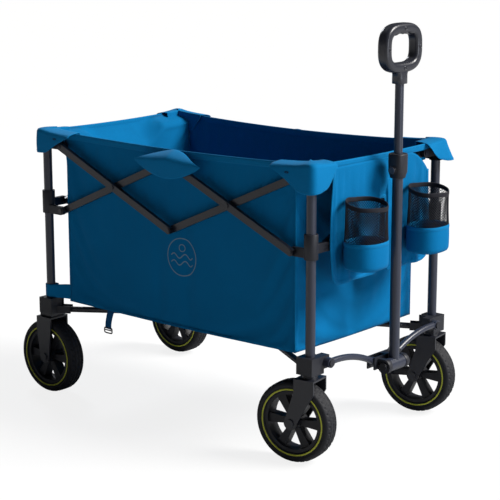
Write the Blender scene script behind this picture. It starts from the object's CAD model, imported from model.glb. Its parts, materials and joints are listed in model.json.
"""A folding beach cart: its sewn tub, pockets, wheels and grip, and the finish of every part.

Sizes are in metres. +X points to the drawbar end, -Y is the near side and +Z is up.
"""
import json
import logging
import math
from dataclasses import dataclass
from enum import Enum
from typing import Any, Sequence

import bpy
import bmesh
import numpy as np
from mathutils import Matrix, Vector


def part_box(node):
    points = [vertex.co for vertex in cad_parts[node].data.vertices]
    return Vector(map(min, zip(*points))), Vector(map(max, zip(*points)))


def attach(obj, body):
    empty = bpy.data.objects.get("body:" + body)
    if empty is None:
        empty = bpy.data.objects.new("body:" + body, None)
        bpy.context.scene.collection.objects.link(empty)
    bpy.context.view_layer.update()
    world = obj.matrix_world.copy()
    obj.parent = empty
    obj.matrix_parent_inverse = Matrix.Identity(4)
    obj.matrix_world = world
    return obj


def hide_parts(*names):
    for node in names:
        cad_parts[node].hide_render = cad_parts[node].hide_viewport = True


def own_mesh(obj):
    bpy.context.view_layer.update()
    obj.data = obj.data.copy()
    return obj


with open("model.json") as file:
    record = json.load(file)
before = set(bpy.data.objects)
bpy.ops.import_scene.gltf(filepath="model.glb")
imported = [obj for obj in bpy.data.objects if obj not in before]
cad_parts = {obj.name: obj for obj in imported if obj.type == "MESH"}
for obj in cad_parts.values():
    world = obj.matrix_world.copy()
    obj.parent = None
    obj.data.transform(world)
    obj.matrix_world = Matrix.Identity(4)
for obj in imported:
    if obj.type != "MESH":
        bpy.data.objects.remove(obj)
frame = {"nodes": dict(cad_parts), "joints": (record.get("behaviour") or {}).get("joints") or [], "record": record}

log = logging.getLogger("beach_cart")
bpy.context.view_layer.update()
# One millimetre in metres, and the thickness of the tub's cloth.
MM = 0.001
CLOTH = 1.3 * MM

Object = bpy.types.Object
Material = bpy.types.Material


class Place(Enum):
    """A place on the cart that the names of bodies and pieces say in small letters."""

    @property
    def word(self) -> str:
        """The place's word in those names."""
        return self.name.lower()


class End(Place):
    """An end of the cart; the value is its side of the middle along X."""

    REAR = -1
    FRONT = 1


class Side(Place):
    """A side of the cart; the value is its side of the middle along Y."""

    NEAR = -1
    FAR = 1


def tag(end: End, side: Side) -> str:
    """The name of a corner, as the frame's bodies and nodes say it."""
    return f"{end.word}_{side.word}"


# ---- finishes --------------------------------------------------------------------------


def linear(hex_code: str) -> tuple[float, float, float, float]:
    """Turns an sRGB hex colour to linear light.

    Args:
        hex_code: six hex digits after a hash.

    Returns:
        Red, green, blue and an alpha of 1.
    """
    parts = [int(hex_code[i : i + 2], 16) / 255 for i in (1, 3, 5)]
    red, green, blue = (c / 12.92 if c <= 0.04045 else ((c + 0.055) / 1.055) ** 2.4 for c in parts)
    return red, green, blue, 1.0


def add_node(tree: bpy.types.NodeTree, kind: str, values: dict | None = None,
             links: dict | None = None, **settings: Any) -> bpy.types.Node:
    """Adds one shader node.

    Args:
        tree: the material's node tree.
        kind: the node's type, without its ShaderNode prefix.
        values: constants for its inputs, by name or number.
        links: output sockets that its inputs read, by name or number.
        settings: the node's own settings.

    Returns:
        The new node.
    """
    made = tree.nodes.new("ShaderNode" + kind)
    for key, value in settings.items():
        setattr(made, key, value)
    for key, value in (values or {}).items():
        made.inputs[key].default_value = value
    for key, source in (links or {}).items():
        tree.links.new(source, made.inputs[key])
    return made


@dataclass(frozen=True)
class Finish:
    """A finish with a fine grain, such as powder coat or a moulded skin.

    Attributes:
        name: the finish in a maker's words.
        colour: its colour, sRGB hex.
        tint: the colour that it drifts to in soft patches.
        roughness: how rough it is where it is smoothest.
        spread: how much rougher its roughest patches are.
        grain: width of a bump of its skin, in metres.
        depth: height of that bump, in metres.
        metallic: 1 for bare metal.
        sheen: strength of the soft edge light of cloth.
        coat: strength of a clear top layer.
        shine: strength of the mirror light at right angles; 0.5 is plain plastic.
        patches: how many soft patches of colour lie along a metre.
    """

    name: str
    colour: str
    tint: str
    roughness: float
    spread: float
    grain: float
    depth: float
    metallic: float = 0.0
    sheen: float = 0.0
    coat: float = 0.0
    shine: float = 0.5
    patches: float = 9.0

    def material(self) -> Material:
        """Builds the finish as a node material, or finds the one already built.

        Returns:
            The material, shared by every piece of this finish.
        """
        known = bpy.data.materials.get(self.name)
        if known:
            return known
        made = bpy.data.materials.new(self.name)
        made.use_nodes = True
        tree = made.node_tree
        shader = tree.nodes["Principled BSDF"]
        for key, value in (("Metallic", self.metallic), ("Sheen Weight", self.sheen),
                           ("Coat Weight", self.coat), ("Coat Roughness", 0.3),
                           ("Specular IOR Level", self.shine)):
            shader.inputs[key].default_value = value
        self.dress(tree, shader)
        return made

    def dress(self, tree: bpy.types.NodeTree, shader: bpy.types.Node) -> None:
        """Adds colour, roughness and grain to the shader.

        Args:
            tree: the material's node tree.
            shader: its principled shader.
        """
        place = add_node(tree, "TexCoord").outputs["Object"]
        patches = add_node(tree, "TexNoise", {"Scale": self.patches, "Detail": 3.0},
                           {"Vector": place})
        grains = add_node(tree, "TexNoise", {"Scale": 1 / self.grain, "Detail": 2.0},
                          {"Vector": place})
        colour = add_node(tree, "Mix", {"A": linear(self.colour), "B": linear(self.tint)},
                          {"Factor": patches.outputs["Fac"]}, data_type="RGBA")
        rough = add_node(tree, "MapRange",
                         {"To Min": self.roughness, "To Max": self.roughness + self.spread},
                         {"Value": grains.outputs["Fac"]})
        bump = add_node(tree, "Bump", {"Strength": 0.6, "Distance": self.depth},
                        {"Height": grains.outputs["Fac"]})
        tree.links.new(colour.outputs["Result"], shader.inputs["Base Color"])
        tree.links.new(rough.outputs["Result"], shader.inputs["Roughness"])
        tree.links.new(bump.outputs["Normal"], shader.inputs["Normal"])


@dataclass(frozen=True)
class Woven(Finish):
    """Plain-woven cloth. The threads follow the piece's own UV map, which is in metres.

    Attributes:
        thread: spacing of the threads, in metres.
        ribbed: True for webbing, whose ribs run one way only.
        hollow: brightness between the threads.
        crown: brightness on top of a thread.
        fuzz: height of the loose fibres against that of the threads.
    """

    patches: float = 6.0
    thread: float = 2.4 * MM
    ribbed: bool = False
    hollow: float = 0.8
    crown: float = 1.08
    fuzz: float = 0.35

    def dress(self, tree: bpy.types.NodeTree, shader: bpy.types.Node) -> None:
        """Adds the threads: each goes over and under its neighbours like a chessboard.

        Args:
            tree: the material's node tree.
            shader: its principled shader.
        """
        flat = add_node(tree, "TexCoord").outputs["UV"]
        scaled = add_node(tree, "Mapping", {"Scale": (1 / self.thread,) * 3}, {"Vector": flat})
        split = add_node(tree, "SeparateXYZ", links={0: scaled.outputs[0]})
        rounds = []
        for axis in ("X", "Y"):
            turn = add_node(tree, "Math", {1: math.pi}, {0: split.outputs[axis]},
                            operation="MULTIPLY")
            wave = add_node(tree, "Math", links={0: turn.outputs[0]}, operation="SINE")
            rounds.append(add_node(tree, "Math", links={0: wave.outputs[0]}, operation="ABSOLUTE"))
        over = add_node(tree, "TexChecker", {"Scale": 1.0}, {"Vector": scaled.outputs[0]})
        mixed = add_node(tree, "Mix", {"Factor": 0.0} if self.ribbed else {},
                         {"A": rounds[0].outputs[0], "B": rounds[1].outputs[0]}
                         | ({} if self.ribbed else {"Factor": over.outputs["Fac"]}),
                         data_type="FLOAT")
        place = add_node(tree, "TexCoord").outputs["Object"]
        fading = add_node(tree, "TexNoise",
                          {"Scale": self.patches, "Detail": 4.0, "Roughness": 0.6},
                          {"Vector": place})
        fibre = add_node(tree, "TexNoise", {"Scale": 1 / self.grain, "Detail": 2.0},
                         {"Vector": place})
        base = add_node(tree, "Mix", {"A": linear(self.colour), "B": linear(self.tint)},
                        {"Factor": fading.outputs["Fac"]}, data_type="RGBA")
        light = add_node(tree, "MapRange", {"To Min": self.hollow, "To Max": self.crown},
                         {"Value": mixed.outputs["Result"]})
        colour = add_node(tree, "VectorMath",
                          links={0: base.outputs["Result"], 1: light.outputs["Result"]},
                          operation="MULTIPLY")
        rough = add_node(tree, "MapRange",
                         {"To Min": self.roughness, "To Max": self.roughness + self.spread},
                         {"Value": fibre.outputs["Fac"]})
        height = add_node(tree, "Math", {1: self.fuzz},
                          {0: fibre.outputs["Fac"], 2: mixed.outputs["Result"]},
                          operation="MULTIPLY_ADD")
        bump = add_node(tree, "Bump", {"Strength": 0.5, "Distance": self.depth},
                        {"Height": height.outputs[0]})
        tree.links.new(colour.outputs[0], shader.inputs["Base Color"])
        tree.links.new(rough.outputs["Result"], shader.inputs["Roughness"])
        tree.links.new(bump.outputs["Normal"], shader.inputs["Normal"])


# Polyester powder coat on steel tube: a smooth satin skin with a faint orange peel.
POWDER_COAT = Finish("powder coated steel tube", "#282c3a", "#2e3342", 0.28, 0.10, 1.6 * MM,
                     0.03 * MM, coat=0.15, shine=0.4)
ARM_COAT = Finish("satin powder coated steel arm", "#191b24", "#1f212b", 0.24, 0.10, 1.4 * MM,
                  0.03 * MM, coat=0.15, shine=0.4)
# Glass-filled nylon: spark-eroded moulds leave a fine matt grain.
NYLON = Finish("moulded nylon", "#191b22", "#1f2129", 0.44, 0.16, 0.9 * MM, 0.05 * MM, shine=0.4)
FORK_COAT = Finish("black powder coated steel plate", "#181a22", "#1e2029", 0.36, 0.12, 1.5 * MM,
                   0.03 * MM, coat=0.15, shine=0.4)
# Polypropylene is a little waxy, with flow marks across broad faces.
POLYPROPYLENE = Finish("moulded polypropylene", "#12131a", "#181a21", 0.42, 0.14, 1.1 * MM,
                       0.04 * MM, shine=0.35)
# Foamed tyre rubber: matt, mottled and slightly dusty.
TYRE_RUBBER = Finish("foamed tyre rubber", "#121319", "#1a1c22", 0.58, 0.2, 1.3 * MM, 0.06 * MM,
                     shine=0.35)
STRIPE_PAINT = Finish("yellow green tyre stripe", "#b9bd33", "#a5ab2c", 0.5, 0.1, 1.2 * MM,
                      0.02 * MM)
GRIP_PLASTIC = Finish("moulded grip plastic", "#1f212a", "#262832", 0.3, 0.12, 1.0 * MM, 0.03 * MM,
                      coat=0.3)
ACETAL = Finish("moulded grey acetal", "#3a3c45", "#454751", 0.38, 0.1, 1.0 * MM, 0.03 * MM)
SCREW_STEEL = Finish("blackened screw steel", "#3c3d42", "#4a4b50", 0.32, 0.12, 0.8 * MM,
                     0.02 * MM, metallic=1.0)
# 600 denier polyester has threads about 0.5 mm apart; they are drawn five times as coarse to show.
TUB_CLOTH = Woven("woven blue polyester", "#006093", "#006ca4", 0.72, 0.14, 1.2 * MM, 0.12 * MM,
                  sheen=0.02, shine=0.05)
HEM_CLOTH = Woven("blue polyester hem tape", "#00679c", "#0073ac", 0.68, 0.14, 1.2 * MM,
                  0.14 * MM, sheen=0.03, shine=0.06, thread=1.8 * MM)
MAT_CLOTH = Woven("black polyester mat cloth", "#191c24", "#222630", 0.76, 0.14, 1.2 * MM,
                  0.14 * MM, sheen=0.05, shine=0.15)
DARK_TAPE = Woven("black binding tape", "#14151c", "#1b1c25", 0.7, 0.14, 1.0 * MM, 0.12 * MM,
                  sheen=0.05, shine=0.15, thread=1.6 * MM, ribbed=True)
NET_YARN = Finish("black polyester net yarn", "#101218", "#171a22", 0.6, 0.15, 0.6 * MM,
                  0.03 * MM, shine=0.2)
WEBBING = Woven("blue polyester webbing", "#00497a", "#005488", 0.7, 0.15, 1.0 * MM, 0.2 * MM,
                sheen=0.05, shine=0.15, thread=2.0 * MM, ribbed=True)
THREAD = Finish("blue sewing thread", "#0a74ab", "#0a6a9e", 0.6, 0.1, 0.4 * MM, 0.02 * MM,
                shine=0.2)
PRINT_INK = Finish("grey screen print", "#6d8aa0", "#607e97", 0.6, 0.15, 0.9 * MM, 0.02 * MM,
                   shine=0.2)
# The finish of each of the record's material slots, and the edge radius of its flat parts.
SLOT_FINISH = {"steel_tube": POWDER_COAT, "steel_arm": ARM_COAT, "bracket_plastic": NYLON,
               "fork": FORK_COAT, "rim": POLYPROPYLENE, "tyre": TYRE_RUBBER, "grip": GRIP_PLASTIC,
               "collar": NYLON, "button": ACETAL, "tub_cloth": TUB_CLOTH,
               "pocket_cloth": TUB_CLOTH, "mat_cloth": MAT_CLOTH, "webbing": WEBBING}
EDGE_RADIUS = {"steel_arm": 1.6 * MM, "bracket_plastic": 0.8 * MM, "fork": 0.8 * MM}


# ---- meshes ----------------------------------------------------------------------------


def new_object(name: str, points: np.ndarray, faces: np.ndarray, finish: Finish,
               uv: np.ndarray | None = None) -> Object:
    """Makes a smooth-shaded object from arrays.

    Args:
        name: the piece's name.
        points: corner places, one row each.
        faces: four corner numbers a row.
        finish: its finish.
        uv: a place on the cloth for each corner of each face, in metres.

    Returns:
        The object, at the origin and in the scene.
    """
    mesh = bpy.data.meshes.new(name)
    mesh.from_pydata(points.reshape(-1, 3).tolist(), [], faces.tolist())
    if uv is not None:
        mesh.uv_layers.new(name="cloth").data.foreach_set("uv", uv.reshape(-1).astype(np.float32))
    mesh.polygons.foreach_set("use_smooth", np.ones(len(mesh.polygons), bool))
    mesh.materials.append(finish.material())
    made = bpy.data.objects.new(name, mesh)
    bpy.context.scene.collection.objects.link(made)
    return made


def quads(rows: int, columns: int, round_rows: bool = False,
          round_columns: bool = False) -> np.ndarray:
    """Corner numbers of the faces of a grid.

    Args:
        rows: points along the first direction.
        columns: points along the second.
        round_rows: True if the first direction closes on itself.
        round_columns: True if the second does.

    Returns:
        Four corner numbers a face, one row each.
    """
    i, j = np.meshgrid(np.arange(rows - (not round_rows)),
                       np.arange(columns - (not round_columns)), indexing="ij")
    down, right = (i + 1) % rows, (j + 1) % columns
    return np.stack([i * columns + j, down * columns + j, down * columns + right,
                     i * columns + right], -1).reshape(-1, 4)


def unrolled(points: np.ndarray, round_rows: bool, round_columns: bool) -> np.ndarray:
    """The UV map of a grid: the mean length walked along each direction, in metres.

    Args:
        points: the grid, rows by columns by 3.
        round_rows: True if the first direction closes on itself.
        round_columns: True if the second does.

    Returns:
        A UV pair for each corner of each face, in the faces' order.
    """
    whole = np.concatenate([points, points[:1]], 0) if round_rows else points
    whole = np.concatenate([whole, whole[:, :1]], 1) if round_columns else whole
    step_u = np.linalg.norm(np.diff(whole, axis=0), axis=2).mean(1)
    step_v = np.linalg.norm(np.diff(whole, axis=1), axis=2).mean(0)
    u, v = (np.concatenate([[0], np.cumsum(s)]) for s in (step_u, step_v))
    i, j = np.meshgrid(np.arange(len(u) - 1), np.arange(len(v) - 1), indexing="ij")
    corners = [(i, j), (i + 1, j), (i + 1, j + 1), (i, j + 1)]
    return np.stack([np.stack([u[a], v[b]], -1) for a, b in corners], 2)


def surface(name: str, points: np.ndarray, finish: Finish, round_rows: bool = False,
            round_columns: bool = False) -> Object:
    """Makes a piece from a grid of points, rows by columns by 3; see quads and unrolled."""
    faces = quads(points.shape[0], points.shape[1], round_rows, round_columns)
    return new_object(name, points, faces, finish, unrolled(points, round_rows, round_columns))


def solid(name: str, rings: np.ndarray, finish: Finish) -> Object:
    """Makes a closed solid from a row of rings, each shrunk to its middle at the two ends.

    Args:
        name: the piece's name.
        rings: rings by points by 3.
        finish: its finish.

    Returns:
        The object, with its faces outwards.
    """
    ends = [np.repeat(ring.mean(0)[None], ring.shape[0], 0) for ring in (rings[0], rings[-1])]
    closed = np.concatenate([ends[0][None], rings, ends[1][None]], 0)
    return tidied(surface(name, closed, finish, round_columns=True))


def tidied(piece: Object, gap: float = 1e-5) -> Object:
    """Merges doubled points, drops faces with no area and turns faces outwards.

    Args:
        piece: the piece.
        gap: the distance within which points are one point.

    Returns:
        The same piece.
    """
    work = bmesh.new()
    work.from_mesh(piece.data)
    bmesh.ops.remove_doubles(work, verts=work.verts, dist=gap)
    bmesh.ops.dissolve_degenerate(work, edges=work.edges, dist=gap)
    bmesh.ops.recalc_face_normals(work, faces=work.faces)
    work.to_mesh(piece.data)
    work.free()
    return piece


def joined(name: str, parts: Sequence[Object]) -> Object:
    """Joins separate objects into one piece of the given name.

    Args:
        name: the joined piece's name.
        parts: the objects, of which the first keeps its material slots first.

    Returns:
        The joined object.
    """
    bpy.ops.object.select_all(action="DESELECT")
    for part in parts:
        part.select_set(True)
    bpy.context.view_layer.objects.active = parts[0]
    if len(parts) > 1:
        bpy.ops.object.join()
    parts[0].name = parts[0].data.name = name
    return parts[0]


def carried(path: np.ndarray, outline: np.ndarray, up: Sequence[float],
            closed: bool = False) -> np.ndarray:
    """Carries an outline along a path.

    At each point the outline's first axis lies across the path, at right angles to up, and its
    second lies at right angles to both.

    Args:
        path: the path's points.
        outline: the outline's points; it may also be one outline for each point of the path.
        up: the direction that the second axis leans to.
        closed: True if the path closes on itself.

    Returns:
        Rings by points by 3.
    """
    ahead = np.roll(path, -1, 0) - np.roll(path, 1, 0) if closed else np.gradient(path, axis=0)
    ahead /= np.linalg.norm(ahead, axis=1)[:, None]
    across = np.cross(ahead, np.array(up, float))
    across /= np.linalg.norm(across, axis=1)[:, None]
    rise = np.cross(across, ahead)
    shape = np.broadcast_to(outline, (len(path),) + outline.shape[-2:])
    return path[:, None] + shape[..., :1] * across[:, None] + shape[..., 1:] * rise[:, None]


def endless(name: str, path: np.ndarray, outline: np.ndarray, up: Sequence[float],
            finish: Finish) -> Object:
    """Makes a piece from an outline that is carried round a closed path; see carried."""
    return surface(name, carried(path, outline, up, True), finish, True, True)


def oval(width: float, height: float, count: int, power: float = 2.0) -> np.ndarray:
    """A superellipse about the origin.

    Args:
        width: its width.
        height: its height.
        count: how many points come back.
        power: 2 is an ellipse, and more is squarer.

    Returns:
        Its points, one row each.
    """
    turn = np.linspace(0, 2 * math.pi, count, endpoint=False)
    reach = [np.sign(f) * np.abs(f) ** (2 / power) for f in (np.cos(turn), np.sin(turn))]
    return np.stack([reach[0] * width / 2, reach[1] * height / 2], -1)


def smooth(points: Sequence[Sequence[float]], count: int) -> np.ndarray:
    """A smooth curve through hand-placed points, as a Catmull-Rom spline.

    Args:
        points: the points.
        count: how many points come back.

    Returns:
        The curve's points, one row each.
    """
    p = np.array(points, float)
    p = np.concatenate([2 * p[:1] - p[1:2], p, 2 * p[-1:] - p[-2:-1]])
    t = np.linspace(0, len(p) - 3 - 1e-9, count)
    k = t.astype(int)
    f = (t - k)[:, None]
    a, b, c, d = (p[k + i] for i in range(4))
    return 0.5 * (2 * b + (c - a) * f + (2 * a - 5 * b + 4 * c - d) * f**2
                  + (3 * b - a - 3 * c + d) * f**3)


def points_at(x: np.ndarray | float, y: np.ndarray | float, z: np.ndarray | float) -> np.ndarray:
    """Puts X, Y and Z side by side in a last axis; a plain number is the same for all."""
    return np.stack(np.broadcast_arrays(x, y, z), -1)


def coordinates(piece: Object) -> np.ndarray:
    """The places of a piece's own corners, one row each."""
    points = np.empty(len(piece.data.vertices) * 3, np.float32)
    piece.data.vertices.foreach_get("co", points)
    return points.reshape(-1, 3).astype(float)


def set_coordinates(piece: Object, points: np.ndarray) -> None:
    """Moves a piece's own corners to new places."""
    piece.data.vertices.foreach_set("co", points.astype(np.float32).ravel())


def mount(piece: Object, body: str) -> Object:
    """Gives a piece its material slot, lets it ride a body and reports it.

    Args:
        piece: the piece, in place.
        body: the frame's body.

    Returns:
        The same piece.
    """
    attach(piece, body)
    log.info("%s rides %s", piece.name, body)
    return piece


def solidify(piece: Object, thickness: float = CLOTH, offset: float = 0.0) -> Object:
    """Gives a sheet its thickness with a Solidify modifier.

    Args:
        piece: the sheet.
        thickness: its thickness.
        offset: -1 to thicken it below, 0 about its middle and 1 above.

    Returns:
        The same piece.
    """
    made = piece.modifiers.new("thickness", "SOLIDIFY")
    made.thickness, made.offset = thickness, offset
    return piece


def rounded(piece: Object, width: float, gap: float = 2e-5, sharp: float = 38) -> Object:
    """Merges loose corners and rounds the sharp edges with Weld and Bevel modifiers.

    Args:
        piece: the piece.
        width: width of the rounding.
        gap: the distance within which corners are one corner.
        sharp: the angle, in degrees, from which an edge is rounded.

    Returns:
        The same piece.
    """
    weld = piece.modifiers.new("merge", "WELD")
    weld.merge_threshold = gap
    bevel = piece.modifiers.new("edges", "BEVEL")
    bevel.width, bevel.segments, bevel.limit_method = width, 2, "ANGLE"
    bevel.angle_limit, bevel.harden_normals = math.radians(sharp), True
    return piece


def stitches(name: str, path: np.ndarray, off: np.ndarray, finish: Finish = THREAD,
             pitch: float = 5.5 * MM, width: float = 0.9 * MM) -> Object:
    """A row of sewn stitches: short six-sided dashes that stand on the cloth.

    Args:
        name: the row's name.
        path: the seam's points.
        off: the direction away from the cloth, for each point or for all.
        finish: the thread.
        pitch: distance from one stitch to the next.
        width: the thread's width.

    Returns:
        One object with all the stitches.
    """
    # A stitch's share of the pitch, the share of its width at its tips, and how many widths its
    # middle stands off the cloth.
    sewn, tip, stand = 0.62, 0.2, 0.25
    walked = np.concatenate([[0], np.cumsum(np.linalg.norm(np.diff(path, axis=0), axis=1))])
    starts = np.arange(pitch / 2, walked[-1] - pitch, pitch)
    ends = starts + sewn * pitch
    at = [np.stack([np.interp(s, walked, path[:, k]) for k in range(3)], -1)
          for s in (starts, ends)]
    out = np.broadcast_to(np.array(off, float), path.shape)
    out = np.stack([np.interp(starts, walked, out[:, k]) for k in range(3)], -1)
    ahead = at[1] - at[0]
    ahead /= np.linalg.norm(ahead, axis=1)[:, None]
    across = np.cross(ahead, out)
    turn = np.linspace(0, 2 * math.pi, 6, endpoint=False)
    ring = (np.cos(turn)[None, :, None] * across[:, None]
            + np.sin(turn)[None, :, None] * out[:, None]) * width / 2
    mid = (at[0] + at[1]) / 2 + out * width * stand
    rings = np.stack([at[0][:, None] + ring * tip, mid[:, None] + ring,
                      at[1][:, None] + ring * tip], 1)
    one = quads(3, 6, round_columns=True)
    faces = (np.arange(len(starts))[:, None, None] * 18 + one[None]).reshape(-1, 4)
    return new_object(name, rings, faces, finish)


# ---- the fold --------------------------------------------------------------------------


@dataclass(frozen=True)
class Fold:
    """How far the posts come together, read from the frame's own pivots.

    Attributes:
        shift_x: how far the front posts move back.
        shift_y: how far the far posts move in.
    """

    shift_x: float
    shift_y: float

    @classmethod
    def measured(cls) -> "Fold":
        """Works the shifts out: a scissor's run is its length times the cosine of its angle.

        Returns:
            The fold, from its driver's upper limit.
        """
        joints = {joint["name"]: joint for joint in frame["joints"]}
        limit = math.radians(joints["fold"]["range_deg"][1])
        shifts = []
        for high, low in (("fold", "near_mid_pivot"), ("rear_near_top_pivot", "rear_cross")):
            gap = np.array(joints[high]["pos_m"]) - np.array(joints[low]["pos_m"])
            run, rise = math.hypot(gap[0], gap[1]), abs(gap[2])
            length, angle = math.hypot(run, rise), math.atan2(rise, run)
            shifts.append(2 * (run - length * math.cos(angle + limit)))
        return cls(*shifts)

    def gather_x(self, piece: Object, half: float) -> Object:
        """Lets a piece that spans half each way along X gather to the rear as the cart folds."""
        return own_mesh(piece)

    def gather_y(self, piece: Object, half: float) -> Object:
        """Lets a piece that spans half each way along Y gather to the near side."""
        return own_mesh(piece)


@dataclass(frozen=True)
class Sizes:
    """The places that the cloth hangs from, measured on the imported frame.

    Attributes:
        half_x: from the middle to the posts' middles, along the cart.
        half_y: the same, across it.
        wall_x: from the middle to the face of an end wall.
        wall_y: from the middle to the face of a long wall.
        floor: height of the tub's floor.
        rim: height of the rim at the posts.
    """

    half_x: float
    half_y: float
    wall_x: float
    wall_y: float
    floor: float
    rim: float

    @classmethod
    def measured(cls) -> "Sizes":
        """Reads the posts' middles and the tub's faces from the frame's boxes.

        Returns:
            The sizes.
        """
        low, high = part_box("post_front_far")
        floor_low, floor_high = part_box("tub_floor")
        wall = 3.4 * MM  # from the edge of the floor to the outer face of a wall
        return cls((low.x + high.x) / 2, (low.y + high.y) / 2, floor_high.x + wall,
                   floor_high.y + wall, floor_low.z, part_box("tub_near_side")[1].z)


def ease(value: np.ndarray | float, low: np.ndarray | float, high: float) -> np.ndarray:
    """A smooth step from 0 at low to 1 at high: three squares less two cubes of the share."""
    t = np.clip((np.asarray(value, float) - low) / (high - low), 0, 1)
    return t * t * (3 - 2 * t)


def sagged(place: np.ndarray, half: float) -> np.ndarray:
    """A hung edge's dip, 1 midway and 0 at the posts: a cosine with a flatter middle."""
    return np.cos(np.clip(place / half, -1, 1) * math.pi / 2) ** 0.8


def bulged(u: np.ndarray) -> np.ndarray:
    """A bulge that is 1 in the middle and 0 where u is 1 either way: a quarter cosine."""
    return np.cos(u * math.pi / 2)


def crease(along: np.ndarray, across: np.ndarray, start: tuple[float, float],
           end: tuple[float, float], width: float) -> np.ndarray:
    """A soft fold: a round ridge on the line from start to end, fading at both ends.

    Args:
        along: places on the cloth, first direction.
        across: places on the cloth, second direction.
        start: where the fold starts.
        end: where it ends.
        width: half its width.

    Returns:
        Its height, 1 at the crest.
    """
    d = np.array(end) - np.array(start)
    length = float(np.hypot(*d))
    t = ((along - start[0]) * d[0] + (across - start[1]) * d[1]) / length
    s = ((along - start[0]) * -d[1] + (across - start[1]) * d[0]) / length
    fade = ease(t, 0, 0.25 * length) * (1 - ease(t, 0.6 * length, length))
    return np.exp(-((s / width) ** 2)) * fade


# A crease is its height in mm, its two ends as shares of the wall, and half its width.
Crease = tuple[float, tuple[float, float], tuple[float, float], float]
SIDE_CREASES: tuple[Crease, ...] = (
    (3.2, (-0.98, 0.9), (-0.45, 0.1), 0.05), (2.6, (0.98, 0.96), (0.55, 0.2), 0.06),
    (2.2, (-0.05, 0.93), (-0.2, 0.35), 0.05), (2.4, (-0.99, 0.04), (-0.3, 0.3), 0.05),
    (2.4, (0.99, 0.05), (0.45, 0.28), 0.05))
END_CREASES: tuple[Crease, ...] = (
    (4, (0.35, 0.5), (0.25, 0.02), 0.07), (3, (-0.95, 0.05), (-0.3, 0.3), 0.06),
    (3, (0.9, 0.95), (0.3, 0.5), 0.07))
PANEL_CREASES: tuple[Crease, ...] = (
    (3, (0.0, 0.95), (0.05, 0.1), 0.09), (-2.5, (0.85, 0.9), (0.4, 0.3), 0.08))


def creased(u: np.ndarray, v: np.ndarray, creases: Sequence[Crease]) -> np.ndarray:
    """The height of a cloth's creases, added up, at each u and v."""
    return sum(height * MM * crease(u, v, start, end, width)
               for height, start, end, width in creases)


def grid_of(columns: int, rows: int, left: float = -1.0) -> tuple[np.ndarray, np.ndarray]:
    """Even steps across a cloth, from left to 1, and up it, from 0 to 1."""
    u, v = np.meshgrid(np.linspace(left, 1, columns), np.linspace(0, 1, rows), indexing="ij")
    return u, v


class Loom:
    """Runs Blender's Cloth once for every sheet that was handed to it.

    Attributes:
        frames: steps of the simulation.
        hung: each sheet, its points before the drape, and the furthest that one may move.
    """

    frames = 22

    def __init__(self) -> None:
        """Starts with nothing hung."""
        self.hung: list[tuple[Object, np.ndarray, float]] = []

    def hang(self, piece: Object, held: np.ndarray, spare: float, reach: float) -> None:
        """Pins a sheet and gives it spare cloth.

        Args:
            piece: the sheet, with no modifiers yet.
            held: True for each point that is sewn down.
            spare: share of spare length in the cloth.
            reach: the furthest that a point may move.
        """
        group = piece.vertex_groups.new(name="held")
        group.add(np.flatnonzero(held).tolist(), 1.0, "REPLACE")
        cloth = piece.modifiers.new("drape", "CLOTH")
        settings = cloth.settings
        settings.quality, settings.mass, settings.air_damping = 6, 0.25, 3.0
        settings.tension_stiffness = settings.compression_stiffness = 20.0
        settings.shear_stiffness, settings.bending_stiffness = 8.0, 2.0
        settings.vertex_group_mass, settings.shrink_min = "held", -spare
        cloth.point_cache.frame_start, cloth.point_cache.frame_end = 1, self.frames
        self.hung.append((piece, coordinates(piece), reach))

    def settle(self) -> None:
        """Steps the frames and writes each sheet's shape back to its mesh.

        A point moves by the cloth's own move, eased to at most its reach by a hyperbolic tangent.
        """
        if not self.hung:
            return
        scene = bpy.context.scene
        for number in range(1, self.frames + 1):
            scene.frame_set(number)
        view = bpy.context.evaluated_depsgraph_get()
        for piece, rest, reach in self.hung:
            moved = coordinates(piece.evaluated_get(view)) - rest
            length = np.maximum(np.linalg.norm(moved, axis=1), 1e-9)[:, None]
            set_coordinates(piece, rest + moved / length * reach * np.tanh(length / reach))
        for piece, _, _ in self.hung:
            piece.modifiers.clear()
            piece.vertex_groups.clear()
            piece.data.update()
        scene.frame_set(1)
        self.hung.clear()


# ---- the tub ---------------------------------------------------------------------------


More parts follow.
